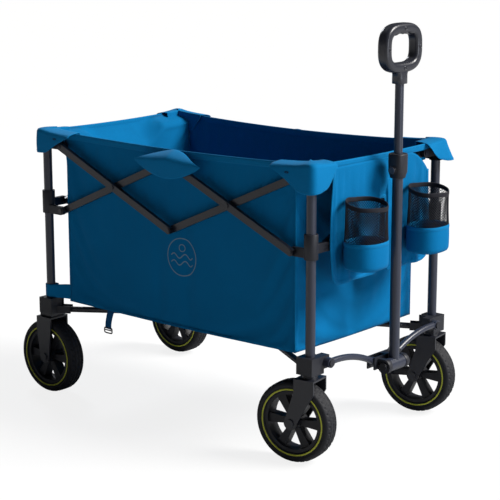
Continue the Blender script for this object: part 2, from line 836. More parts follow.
@dataclass
class Tub:
    """The sewn tub: four walls, a floor, its padded mat, hems, hoods, seams, ties and strap.

    Attributes:
        sizes: the places that it hangs from.
        fold: how the frame comes together.
        loom: what drapes its walls.
        rim_sag: how far a long rim dips between two corners.
        end_sag: how far an end's rim dips.
        rim_out: how far a long rim stands outside its wall.
        rim_pull: how far its middle is drawn back in.
        rim_flare: how much further out it runs near the posts.
        lean_from: share of a wall's height from which it leans out to the rim.
        belly: how far a wall bulges in the middle.
        reach: the furthest that a point moves in the drape.
        hem: height of a hem.
        columns: points along a long wall.
        end_columns: points along an end wall.
        rows: points up a wall.
    """

    sizes: Sizes
    fold: Fold
    loom: Loom
    rim_sag: float = 11 * MM
    end_sag: float = 4 * MM
    rim_out: float = 9 * MM
    rim_pull: float = 7 * MM
    rim_flare: float = 12 * MM
    lean_from: float = 0.84
    belly: float = 5 * MM
    reach: float = 6 * MM
    hem: float = 15 * MM
    columns: int = 97
    end_columns: int = 61
    rows: int = 61

    def rim_x(self, side: Side, x: np.ndarray) -> np.ndarray:
        """The rim along one side at each x: it dips and pulls inwards between the posts.

        Args:
            side: the side that it runs along.
            x: places along the cart.

        Returns:
            The rim's points.
        """
        s = self.sizes
        dip = sagged(x, s.half_x)
        flare = self.rim_flare * ease(np.abs(x), 0.72 * s.half_x, 0.92 * s.half_x)
        y = side.value * (s.wall_y + self.rim_out - self.rim_pull * dip + flare)
        return points_at(x, y, s.rim - self.rim_sag * dip)

    def rim_y(self, end: End, y: np.ndarray) -> np.ndarray:
        """The rim across one end at each y; the rear one pulls in midway.

        Args:
            end: the end that it crosses.
            y: places across the cart.

        Returns:
            The rim's points.
        """
        s = self.sizes
        dip = sagged(y, s.half_y)
        out, pull = {End.REAR: (3 * MM, 3 * MM), End.FRONT: (8 * MM, 0 * MM)}[end]
        return points_at(end.value * (s.half_x + out - pull * dip), y, s.rim - self.end_sag * dip)

    def keep_side(self, piece: Object, side: Side, half: float) -> Object:
        """Lets a piece ride its side's rear post and gather along X, half each way."""
        return self.fold.gather_x(mount(piece, f"rear_{side.word}_corner"), half)

    def keep_end(self, piece: Object, end: End, half: float) -> Object:
        """Lets a piece ride its end's near post and gather along Y, half each way."""
        return self.fold.gather_y(mount(piece, f"{end.word}_near_corner"), half)

    def side_wall(self, side: Side) -> Object:
        """Hangs one long wall: it sinks in behind the arms and leans out to the rim.

        A point's place is the wall's plane and the rim, mixed by a smooth step of its height. The
        step starts higher near the posts, where the arms end.

        Args:
            side: the side that it lies on.

        Returns:
            The wall, pinned along its edges for the drape.
        """
        s = self.sizes
        u, v = grid_of(self.columns, self.rows)
        lean = ease(v, self.lean_from + 0.10 * ease(np.abs(u), 0.6, 0.85), 1.0)
        x = u * (s.wall_x + (s.half_x - 15 * MM - s.wall_x) * lean)
        top = self.rim_x(side, x)
        z = s.floor - 3 * MM * bulged(u) + (top[..., 2] - s.floor) * v
        y = side.value * s.wall_y * (1 - lean) + top[..., 1] * lean
        belly = self.belly * bulged(u) * np.sin(v * math.pi)
        folds = creased(u, v, SIDE_CREASES)
        wall = surface(f"tub_{side.word}_wall", points_at(x, y - side.value * (belly + folds), z),
                       TUB_CLOTH)
        held = (np.abs(u) > 0.985) | (v > 0.96) | (v < 0.01)
        self.loom.hang(wall, held.ravel(), 0.012, self.reach)
        return wall

    def end_wall(self, end: End) -> Object:
        """Hangs one end wall between the two long walls, in the same way as they hang.

        Args:
            end: the end that it closes.

        Returns:
            The wall, pinned along its edges for the drape.
        """
        s = self.sizes
        u, v = grid_of(self.end_columns, self.rows)
        lean = ease(v, self.lean_from + 0.11 * ease(np.abs(u), 0.3, 0.62), 1.0)
        y = u * (s.wall_y - 1.5 * MM + 14 * MM * lean)
        top = self.rim_y(end, y)
        z = s.floor - 2 * MM * bulged(u) + (top[..., 2] - s.floor) * v
        x = end.value * s.wall_x * (1 - lean) + top[..., 0] * lean
        belly = self.belly * bulged(u) * np.sin(v * math.pi)
        folds = creased(u, v, END_CREASES)
        wall = surface(f"tub_{end.word}_wall", points_at(x + end.value * (belly + folds), y, z),
                       TUB_CLOTH)
        held = (np.abs(u) > 0.97) | (v > 0.96) | (v < 0.01)
        self.loom.hang(wall, held.ravel(), 0.014, self.reach)
        return wall

    def tape(self, name: str, path: np.ndarray, out: Sequence[float]) -> Object:
        """Sews a rolled hem along a path: a flat tube with two rows of stitches outside.

        Args:
            name: the hem's name.
            path: the top edge of the wall.
            out: the direction away from the tub.

        Returns:
            The hem with its stitches.
        """
        away = np.array(out, float)
        outline = oval(self.hem, 5 * MM, 16, 3.2)
        middle = path - np.array([0, 0, self.hem / 2 - 1 * MM])
        hem = solid(name, carried(middle, outline[:, ::-1], (0, 0, 1)), HEM_CLOTH)
        rows = [stitches(f"{name}_row", path + away * 2.6 * MM - np.array([0, 0, drop]), away)
                for drop in (2.5 * MM, self.hem - 3 * MM)]
        return joined(name, [hem, *rows])

    def hems(self) -> None:
        """Sews the four hems; each gathers with the wall that it ends."""
        s = self.sizes
        short = 12 * MM  # a hem ends this far before the posts' middles
        for side in Side:
            path = self.rim_x(side, np.linspace(-s.half_x + short, s.half_x - short, 121))
            hem = self.tape(f"rim_hem_{side.word}", path, (0, side.value, 0))
            self.keep_side(hem, side, s.half_x)
        for end in End:
            path = self.rim_y(end, np.linspace(-s.half_y + short, s.half_y - short, 81))
            hem = self.tape(f"rim_hem_{end.word}", path, (end.value, 0, 0))
            self.keep_end(hem, end, s.half_y)

    def mid_flap(self, side: Side) -> None:
        """Sews the hood over the middle pivot: a leaf-shaped sheet that swells outwards.

        It starts at the rim, runs out over the arms by a quarter sine and turns down to its own
        curved edge, whose depth is a cosine of the way along.

        Args:
            side: the side that it lies on.
        """
        s = self.sizes
        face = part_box(f"tub_{side.word}_side")[0 if side is Side.NEAR else 1]
        out = abs(face.y) + 3 * MM
        middle, half, tip, depth = 7 * MM, 100 * MM, 26 * MM, 34 * MM
        u, v = grid_of(65, 29)
        x = middle + u * half
        rim = self.rim_x(side, x)
        near = np.abs(rim[..., 1]) + 3.2 * MM
        lens = bulged(u) ** 0.85
        top_y = near + (out - near) * ease(np.abs(u), 0.12, 0.95)
        top_z = rim[..., 2] + 1 * MM - 27 * MM * np.abs(u) ** 1.4
        brow = np.sin(np.clip(v / 0.5, 0, 1) * math.pi / 2)
        bulge = 3.5 * MM * lens * np.sin(v * math.pi)
        y = side.value * (top_y + (out - top_y) * brow + bulge)
        z = top_z - (top_z - (rim[..., 2] - tip - depth * lens)) * (0.45 * v + 0.55 * v**2)
        points = points_at(x, y, z)
        flap = solidify(surface(f"mid_flap_{side.word}", points, HEM_CLOTH))
        row = points[:, -1] + np.array([0, side.value * 1.2 * MM, 6 * MM])
        trim = stitches(f"mid_flap_stitches_{side.word}", row, (0, side.value, 0.1))
        for piece in (flap, trim):
            self.keep_side(piece, side, s.half_x)

    def corner_seams(self) -> None:
        """Runs a bound seam up each corner of the tub, where two walls are sewn together."""
        s = self.sizes
        for end in End:
            for side in Side:
                z = np.linspace(s.floor, s.rim - 10 * MM, 40)
                lean = ease((z - s.floor) / (s.rim - s.floor), 0.8, 1.0)
                path = points_at(end.value * (s.wall_x + 5 * MM * lean),
                                 side.value * (s.wall_y + 7 * MM * lean), z)
                seam = solid(f"corner_seam_{tag(end, side)}",
                             carried(path, oval(4 * MM, 4 * MM, 10), (1, 0, 0)), HEM_CLOTH)
                mount(seam, f"{tag(end, side)}_corner")

    def post_loops(self) -> None:
        """Sews the cloth tab that ties each lower rear corner of the tub to its post.

        The tab runs out from the wall, in a half circle round the post and back to its inner
        face. It flattens as the sleeve comes down.
        """
        s = self.sizes
        ring, points, width = 12.5 * MM, 11, 9
        for side in Side:
            x = np.linspace(-s.half_x - ring, -s.wall_x + 2 * MM, 20)
            bend = ease(x, -s.half_x, -s.wall_x)
            y = side.value * (s.half_y + ring - bend * (s.half_y + ring - s.wall_y))
            v = np.linspace(0, 1, width)
            z = s.floor + 9 * MM + (30 + 6 * bend[:, None]) * MM * v[None] - 4 * MM * bend[:, None]
            grid = points_at(x[:, None], y[:, None], z)
            inner = grid[0] * np.array([1.0, 0, 1])
            inner = inner + np.array([0, side.value * (s.half_y - ring), 0])
            turn = np.linspace(math.pi / 2, -math.pi / 2, points)[:, None]
            around = points_at(-s.half_x - ring * np.cos(turn),
                               side.value * (s.half_y - ring * np.sin(turn)), z[0])
            back = np.linspace(inner + np.array([2 * ring, 0, 0]), around[0], 5)[:-1]
            tab = surface(f"post_loop_{side.word}", np.concatenate([back, around, grid[3:]]),
                          HEM_CLOTH)
            mount(solidify(tab, 2 * MM), f"rear_{side.word}_corner")
            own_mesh(tab)

    def floor(self) -> None:
        """Lays the floor and its mat, in a near and a far half that gather as the cart folds."""
        s = self.sizes
        for side in Side:
            u, v = grid_of(61, 25)
            sag = 1.5 * MM * bulged(u)
            points = points_at(u * (s.wall_x - 1 * MM), side.value * v * (s.wall_y - 1 * MM),
                               s.floor + 1.4 * MM + 0.4 * MM * side.value - sag * (1 - v))
            base = solidify(surface(f"tub_floor_{side.word}", points, TUB_CLOTH))
            self.keep_side(base, side, s.wall_x)
            mat = self.keep_side(self.mat_half(side), side, s.wall_x)
            if side is Side.NEAR:
                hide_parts("tub_floor")
                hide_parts("floor_mat")

    def mat_half(self, side: Side) -> Object:
        """Pads half the mat: four crowned panels between sewn channels.

        Each panel's top is a product of two low arches, and the channels are where they meet zero.

        Args:
            side: the side that it lies on.

        Returns:
            The half mat, closed.
        """
        low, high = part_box("floor_mat")
        panels, gap = 4, 0.8 * MM
        u, v = grid_of(129, 49, 0.0)
        swell = np.abs(np.sin(u * panels * math.pi)) ** 0.28 * np.sin(v * math.pi) ** 0.22
        tight = 1 - 0.15 * (1 - swell)
        thick = high.z - low.z
        x = low.x + u * (high.x - low.x)
        y = side.value * (gap + v * (high.y - gap))
        centre = low.z + 0.36 * thick + 0.25 * MM * side.value
        name = f"floor_mat_{side.word}"
        faces = [surface(part, points_at(x, y, z), MAT_CLOTH)
                 for part, z in ((name, centre + 0.60 * thick * swell * tight),
                                 ("under", centre - 0.30 * thick * swell))]
        return tidied(joined(name, faces))

    def badge(self, wall: Object) -> None:
        """Prints a plain round mark with two waves on the near wall, following its cloth.

        Args:
            wall: the near wall, draped.
        """
        centre, radius, line = np.array([20 * MM, 392 * MM]), 43 * MM, 2.6 * MM
        turn = np.linspace(0, 2 * math.pi, 97)
        circle = np.stack([np.cos(turn), np.sin(turn)], -1)
        run = np.linspace(-0.74, 0.74, 60)
        lines = [(centre + radius * circle, line)]
        for drop in (-14 * MM, 2 * MM):
            wave = np.stack([run * radius, drop + 5 * MM * np.sin(run * 8.5)], -1)
            lines.append((centre + wave, line))
        lines.append((centre + circle * 8 * MM + [0, 21 * MM], 2.2 * MM))
        grid = coordinates(wall).reshape(self.columns, self.rows, 3)
        parts = []
        for path, width in lines:
            ahead = np.gradient(path, axis=0)
            ahead /= np.linalg.norm(ahead, axis=1)[:, None]
            across = np.stack([-ahead[:, 1], ahead[:, 0]], -1) * width / 2
            flat = np.stack([path - across, path + across], 1)
            parts.append(surface("mark", self.laid_on(grid, flat, 0.5 * MM), PRINT_INK))
        self.keep_side(joined("side_mark", parts), Side.NEAR, self.sizes.wall_x)

    def laid_on(self, grid: np.ndarray, flat: np.ndarray, lift: float) -> np.ndarray:
        """Puts points given by x and z on the near wall, between its four nearest points.

        Args:
            grid: the wall's points, columns by rows by 3.
            flat: x and z of each point.
            lift: how far the points stand off the cloth.

        Returns:
            The points in space.
        """
        columns, rows = self.columns, self.rows
        i = (flat[..., 0] / self.sizes.wall_x + 1) / 2 * (columns - 1)
        i = np.clip(i, 0, columns - 1.001)
        heights = grid[columns // 2, :, 2]
        j = np.clip(np.interp(flat[..., 1], heights, np.arange(rows)), 0, rows - 1.001)
        a, b = i.astype(int), j.astype(int)
        f, g = i - a, j - b
        y = (grid[a, b, 1] * (1 - f) * (1 - g) + grid[a + 1, b, 1] * f * (1 - g)
             + grid[a, b + 1, 1] * (1 - f) * g + grid[a + 1, b + 1, 1] * f * g)
        return points_at(flat[..., 0], y - lift - CLOTH / 2, flat[..., 1])

    def closing_strap(self) -> None:
        """Hangs the webbing strap under the near edge, with its ladder buckle."""
        top = self.sizes.floor
        low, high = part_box("closing_strap")
        x, y = (low.x + high.x) / 2, (low.y + high.y) / 2
        path = smooth([(x + 13 * MM, y - 1 * MM, top), (x + 8 * MM, y - 3 * MM, top - 18 * MM),
                       (x + 1 * MM, y, top - 36 * MM), (x, y, low.z + 10 * MM)], 40)
        strap = solid("closing_strap_webbing",
                      carried(path, oval(20 * MM, 1.8 * MM, 14, 5), (0, -1, 0)), WEBBING)
        turn = oval(25 * MM, 13 * MM, 40, 5)
        ring = endless("buckle_frame", points_at(x + turn[:, 0], y, low.z + 6.5 * MM + turn[:, 1]),
                       oval(3.4 * MM, 2.6 * MM, 10), (0, 1, 0), NYLON)
        across = points_at(np.linspace(x - 11 * MM, x + 11 * MM, 8), y, low.z + 7 * MM)
        bar = solid("buckle_bar", carried(across, oval(3 * MM, 2.6 * MM, 10), (0, 1, 0)), NYLON)
        buckle = tidied(joined("closing_strap_buckle", [ring, bar]))
        for piece, slot in ((strap, "webbing"), (buckle, "bracket_plastic")):
            mount(piece, "rear_near_corner")
        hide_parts("closing_strap")

    def declare_wall(self, node: str) -> None:
        """Declares a wall as a sheet, cut as long as given and as high as the tub is deep.

        Args:
            node: the frame's node that it stands for.
        """
        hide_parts(node)

    def build(self) -> None:
        """Makes and dresses the whole tub."""
        s = self.sizes
        walls = {side: self.side_wall(side) for side in Side}
        ends = {end: self.end_wall(end) for end in End}
        self.loom.settle()
        self.hems()
        for side, wall in walls.items():
            if side is Side.NEAR:
                self.badge(wall)
            self.keep_side(solidify(wall), side, s.wall_x)
            self.declare_wall(f"tub_{side.word}_side")
            self.mid_flap(side)
        for end, wall in ends.items():
            self.keep_end(solidify(wall), end, s.wall_y)
            self.declare_wall(f"tub_{end.word}_end")
        for end in End:
            for side in Side:
                Hood(s, end, side, self.rim_sag, self.end_sag).build()
        self.corner_seams()
        self.post_loops()
        self.floor()
        self.closing_strap()


@dataclass(frozen=True)
class Hood:
    """A hood over a corner of the frame: a short leaf, a long leaf, a top and a lining.

    Its outline is walked from the tip of the leaf on the end, round the post at 0, to the tip of
    the leaf on the long side. The pairs are a place on that walk and a size there, in mm.

    Attributes:
        sizes: the places that it hangs from.
        end: the end that it lies at.
        side: the side that it lies on.
        rim_sag: how far the long rim under it dips.
        end_sag: how far the end's rim under it dips.
        out: how far it stands outside the post's middle.
        turn: radius of its upright edge.
        seat: how far inside the post's middle the lining hangs.
        shoulder: radius of its upper edge.
        drops: how far the leaves hang down.
        linings: how far the lining hangs down.
        columns: points along the outline.
    """

    sizes: Sizes
    end: End
    side: Side
    rim_sag: float
    end_sag: float
    out: float = 20 * MM
    turn: float = 13 * MM
    seat: float = 17 * MM
    shoulder: float = 6 * MM
    drops: tuple[tuple[float, float], ...] = (
        (-76, 9), (-70, 16), (-58, 36), (-44, 52), (-20, 59), (12, 61), (30, 59.5), (40, 55),
        (70, 34), (104, 15), (112, 9))
    linings: tuple[tuple[float, float], ...] = (
        (-76, 4), (-66, 30), (-56, 48), (80, 48), (94, 30), (112, 4))
    columns: int = 79

    @property
    def lifted(self) -> bool:
        """True for the front far hood, whose corner has come loose and stands out."""
        return (self.end, self.side) == (End.FRONT, Side.FAR)

    def hang_down(self, walk: np.ndarray) -> np.ndarray:
        """How far the outer face hangs at each place: a table, softened by a mean of five.

        Args:
            walk: places along the outline.

        Returns:
            The drop at each.
        """
        drop = np.interp(walk / MM, *zip(*self.drops)) * MM
        drop = np.convolve(np.pad(drop, 2, "edge"), np.ones(5) / 5, "valid")
        drop = drop * {End.REAR: 0.88, End.FRONT: 1.0}[self.end]
        return drop * (0.74 if self.lifted else 1.0)

    def grid(self) -> np.ndarray:
        """Cuts the hood: each column climbs the lining, crosses the top and drops outside.

        The top crosses by a quarter sine. The outer face leans out by a half sine for its puff
        and a square for its flare.

        Returns:
            Its points, columns by rows by 3.
        """
        s = self.sizes
        low, high = self.drops[0][0], self.drops[-1][0]
        arc = self.turn * math.pi / 2
        walk = np.linspace(low * MM, high * MM, self.columns)
        angle = np.clip(walk / (arc / 2), -1, 1) * math.pi / 4 + math.pi / 4
        extra = np.maximum(np.abs(walk) - arc / 2, 0) * np.sign(walk)
        a = -self.out + self.turn - self.turn * np.cos(angle) + np.maximum(extra, 0)
        b = -self.out + self.turn - self.turn * np.sin(angle) + np.maximum(-extra, 0)
        inner_a, inner_b = np.maximum(a, self.seat), np.maximum(b, self.seat)
        kick = (24 if self.lifted else 0) * MM * np.exp(-((walk - 6 * MM) / (52 * MM)) ** 2)
        dip = np.where(walk > 0, self.rim_sag * sagged(s.half_x - a, s.half_x),
                       self.end_sag * sagged(s.half_y - b, s.half_y))
        top = s.rim + 3 * MM + 3.5 * MM * np.exp(-((walk / (38 * MM)) ** 2)) - dip
        lining = np.interp(walk / MM, *zip(*self.linings)) * MM
        rows = [(inner_a, inner_b, top - lining * step) for step in (1, 0.8, 0.6, 0.4, 0.2, 0.05)]
        for step in np.linspace(0, math.pi / 2, 9):
            reach = 0.97 * math.sin(step)
            rows.append((inner_a + (a - inner_a) * reach, inner_b + (b - inner_b) * reach,
                         top - self.shoulder * (1 - math.cos(step))))
        brow = top - self.shoulder
        fall = brow - (s.rim - self.hang_down(walk))
        t = np.abs(walk / (high * MM))
        for step in np.linspace(0.06, 1, 22):
            puff = 2.2 * MM * math.sin(step * math.pi) * (1 - 0.6 * t)
            flare = 2.0 * MM * step**2 * (1 + 0.5 * t) + kick * step**1.5
            spread = (puff + flare) / 1.4
            rows.append((a - spread * np.cos(angle), b - spread * np.sin(angle),
                         brow - fall * step))
        return np.stack([points_at(self.end.value * (s.half_x - ra),
                                   self.side.value * (s.half_y - rb), rz)
                         for ra, rb, rz in rows], 1)

    def eyelet(self, name: str, at: np.ndarray) -> Object:
        """Bar-tacks a short slit in the long leaf, where the inner tab is caught.

        Args:
            name: the piece's name.
            at: the slit's middle on the hood.

        Returns:
            The slit's bound edge.
        """
        turn = np.linspace(0, 2 * math.pi, 28, endpoint=False)
        line = at + points_at(4.5 * MM * np.cos(turn), self.side.value * 1.0 * MM,
                              1.5 * MM * np.sin(turn))
        return tidied(endless(name, line, oval(1.4 * MM, 1.2 * MM, 8), (0, 1, 0), DARK_TAPE))

    def build(self) -> None:
        """Sews the hood, its row of stitches and its slit, on the post that it covers."""
        name, grid = tag(self.end, self.side), self.grid()
        cap = solidify(surface(f"corner_cap_{name}", grid, HEM_CLOTH))
        post = np.array([self.end.value * self.sizes.half_x,
                         self.side.value * self.sizes.half_y, 0])
        hem = grid[:, -3]
        away = (hem - post) * np.array([1, 1, 0])
        away /= np.linalg.norm(away, axis=1)[:, None]
        trim = stitches(f"corner_cap_stitches_{name}", hem + away * 1.1 * MM, away)
        column, row = 59, 23  # where the slit lies in the grid
        eyelet = self.eyelet(f"corner_cap_eyelet_{name}", grid[column, row])
        for piece in (cap, trim, eyelet):
            mount(piece, f"{name}_corner")
        if self.lifted:
            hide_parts("cap_front_far")


# ---- pockets ---------------------------------------------------------------------------


@dataclass
class Pockets:
    """The pocket panel on the front of the cart and its two cup pockets.

    Attributes:
        sizes: the places that the panel hangs from.
        fold: how the frame comes together.
        loom: what drapes the panel.
        solid_top: height of the top of the cloth cup above its bottom.
        width: width of a cup, side to side.
        depth: depth of a cup, front to back.
        steps: points round a cup.
        cell: width of a cell of the net. The real one is about 3 mm; it is drawn coarser to show.
        cells: cells of the net round a cup.
    """

    sizes: Sizes
    fold: Fold
    loom: Loom
    solid_top: float = 60 * MM
    width: float = 98 * MM
    depth: float = 80 * MM
    steps: int = 72
    cell: float = 6.2 * MM
    cells: int = 46

    def keep(self, piece: Object) -> Object:
        """Lets a piece ride the front near corner and gather with the front end."""
        mount(piece, "front_near_corner")
        return self.fold.gather_y(piece, self.sizes.half_y)

    def cut_panel(self) -> tuple[np.ndarray, np.ndarray, np.ndarray]:
        """Cuts the panel: round lower corners, a slit up its middle and a lowered far top.

        Its lower edge is a quarter circle at each corner, and the slit is a smooth step of the
        distance from the middle. The columns are closest together at the slit and at both sides.

        Returns:
            Its points, columns by rows by 3, and the u and v of each.
        """
        low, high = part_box("pocket_panel")
        half, corner, slit = high.y, 26 * MM, 0.66
        even = np.linspace(-1, 1, 85)
        packed = even - 0.12 * np.sin(2 * math.pi * even) * 0.8
        u, v = np.meshgrid(packed, np.linspace(0, 1, 49), indexing="ij")
        fall = np.clip((u * half - 0.55 * half) / (0.45 * half), 0, 1) ** 2
        top = self.sizes.rim - 12 * MM - 46 * MM * fall
        from_edge = np.clip(half - np.abs(u * half), 0, corner)
        lift = corner - np.sqrt(np.maximum(corner**2 - (corner - from_edge) ** 2, 0))
        notch = slit * (top - low.z) * (1 - ease(np.abs(u * half), 13 * MM, 19 * MM))
        bottom = low.z + lift + notch
        z = bottom + (top - bottom) * v
        x = (low.x + high.x) / 2 + 1.5 * MM + 3 * MM * np.sin(v * math.pi) * np.cos(u * 3.2)
        y = u * half * (1 - 0.02 * ease(v, 0.5, 1)) + 3 * MM * np.sin(v * 5) * u**3
        return points_at(x + creased(u, v, PANEL_CREASES), y, z), u, v

    def panel(self) -> None:
        """Hangs the panel from the end hem, drapes it and binds its edges."""
        low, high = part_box("pocket_panel")
        cut, u, v = self.cut_panel()
        panel = surface("pocket_panel_cloth", cut, TUB_CLOTH)
        cups = (np.abs(np.abs(u) - 0.64) < 0.02) & (v < 0.7)
        held = (v > 0.97) | (np.abs(u) < 0.14) | cups
        self.loom.hang(panel, held.ravel(), 0.01, 5 * MM)
        self.loom.settle()
        grid = coordinates(panel).reshape(cut.shape)
        grid[..., 0] = np.maximum(grid[..., 0], (low.x + high.x) / 2)
        set_coordinates(panel, grid)
        panel.data.update()
        edge = np.concatenate([grid[0, ::-1], grid[1:-1, 0], grid[-1]])
        even, places = np.linspace(0, 1, 160), np.linspace(0, 1, len(edge))
        edge = np.stack([np.interp(even, places, edge[:, k]) for k in range(3)], -1)
        outline = oval(3.2 * MM, 9 * MM, 12, 3)[:, ::-1]
        binding = solid("pocket_panel_binding", carried(edge, outline, (1, 0, 0)), HEM_CLOTH)
        row = stitches("pocket_panel_stitches", edge + np.array([2.0 * MM, 0, 0]), (1, 0, 0))
        for piece in (solidify(panel), binding, row):
            self.keep(piece)
        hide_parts("pocket_panel")

    def outline(self, count: int) -> np.ndarray:
        """A cup's outline from above: an oval that lies flat where it is sewn to the panel."""
        shape = oval(self.depth, self.width, count, 2.5)
        shape[:, 0] = np.maximum(shape[:, 0], -self.depth / 2 + 1 * MM)
        return shape

    def rim_drop(self, shape: np.ndarray) -> np.ndarray:
        """How far the mouth dips round the outline: most at the front, with a small pucker."""
        front = (shape[:, 0] / self.depth + 0.5)
        return 14 * MM * front + 1.5 * MM * np.sin(3 * np.arctan2(shape[:, 1], shape[:, 0]))

    def mouth(self, shape: np.ndarray) -> np.ndarray:
        """The outline at the mouth: drawn in a little at the front, as empty net is."""
        return shape * np.array([0.94, 0.97])

    def cup(self, side: Side, low: float, high: float) -> None:
        """Sews one cup: a cloth bowl, a net wall above it and black tape round the mouth.

        The bowl is the outline at a row of heights, scaled: it closes over its base and swells by
        a half sine above it.

        Args:
            side: the side that it lies on.
            low: height of its bottom.
            high: height of its mouth at the panel.
        """
        word, shape = side.word, self.outline(self.steps)
        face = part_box("pocket_panel")[1].x
        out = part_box("cup_pockets")[1].y - 39 * MM
        middle = np.array([face + self.depth / 2 + 3.0 * MM, side.value * out, 0.0])

        def ring(scaled: np.ndarray, z: np.ndarray | float) -> np.ndarray:
            """The points of an outline at a height, about the cup's middle."""
            return points_at(scaled[:, 0], scaled[:, 1], z)

        levels = [(0.0, 0.02), (0.1 * MM, 0.55), (0.6 * MM, 0.84), (3 * MM, 0.95)]
        levels += [(z * MM, 1.0 + 0.02 * math.sin(z / 60 * math.pi))
                   for z in np.linspace(8, 60, 12)]
        rings = np.stack([ring(shape * scale, low + z) for z, scale in levels])
        bowl = tidied(surface(f"cup_bowl_{word}", rings + middle, TUB_CLOTH, round_columns=True))
        seam = ring(shape * 1.005, low + self.solid_top - 4 * MM) + middle
        bowl_tape = endless(f"cup_tape_{word}", seam, oval(9 * MM, 2.6 * MM, 10, 3)[:, ::-1],
                            (0, 0, 1), HEM_CLOTH)
        net = self.net(f"cup_net_{word}", middle, low + self.solid_top - 3 * MM, high)
        mouth = ring(self.mouth(shape), high - self.rim_drop(shape)) + middle
        tape = endless(f"cup_mouth_{word}", mouth, oval(10 * MM, 3 * MM, 12, 3)[:, ::-1],
                       (0, 0, 1), DARK_TAPE)
        away = ring(shape / np.linalg.norm(shape, axis=1)[:, None], 0.0)
        row = stitches(f"cup_stitches_{word}",
                       seam + (seam - middle) * np.array([0.03, 0.03, 0]), away)
        for piece in (solidify(bowl), tidied(bowl_tape), net, tidied(tape), row):
            self.keep(piece)
        if side is Side.NEAR:
            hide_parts("cup_pockets")

    def net(self, name: str, middle: np.ndarray, low: float, high: float) -> Object:
        """Knits the net: diamond cells on the cup's wall, whose sides become round yarns.

        Knots lie on rows round the cup, every other row half a cell on. A face joins a knot to
        the knot two rows above it and to the two between them.

        Args:
            name: the net's name.
            middle: the cup's middle.
            low: height of the net's lower edge.
            high: height of the mouth at the panel.

        Returns:
            The net.
        """
        count = self.cells
        rows = int((high - low) / self.cell * 1.9)
        j, i = np.meshgrid(np.arange(rows + 1), np.arange(count), indexing="ij")
        share, v = (i + 0.5 * (j % 2)) / count, j / rows
        fine = self.outline(720)
        place = (share * 720).astype(int) % 720
        shape, drop = fine[place], self.rim_drop(fine)[place]
        waist = np.sin(v * math.pi)
        wave = 1 + 0.012 * np.sin(6 * math.pi * 2 * share + 2.0) * waist
        scale = (1 - 0.02 * waist)[..., None] * wave[..., None]
        flat = shape * scale * (1 - v[..., None]) + self.mouth(shape) * scale * v[..., None]
        points = points_at(flat[..., 0], flat[..., 1], low + (high - drop - low) * v) + middle
        n, k = np.meshgrid(np.arange(rows - 1), np.arange(count), indexing="ij")
        left, right = (k - 1 + n % 2) % count, (k + n % 2) % count
        faces = np.stack([n * count + k, (n + 1) * count + right, (n + 2) * count + k,
                          (n + 1) * count + left], -1).reshape(-1, 4)
        net = new_object(name, points, faces, NET_YARN)
        yarn = net.modifiers.new("yarn", "WIREFRAME")
        yarn.thickness, yarn.use_replace, yarn.use_boundary = 1.5 * MM, True, True
        return net

    def build(self) -> None:
        """Makes and dresses the panel and both cups."""
        self.panel()
        low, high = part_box("cup_pockets")
        for side in Side:
            self.cup(side, low.z, high.z + 4 * MM)


# ---- wheels ----------------------------------------------------------------------------


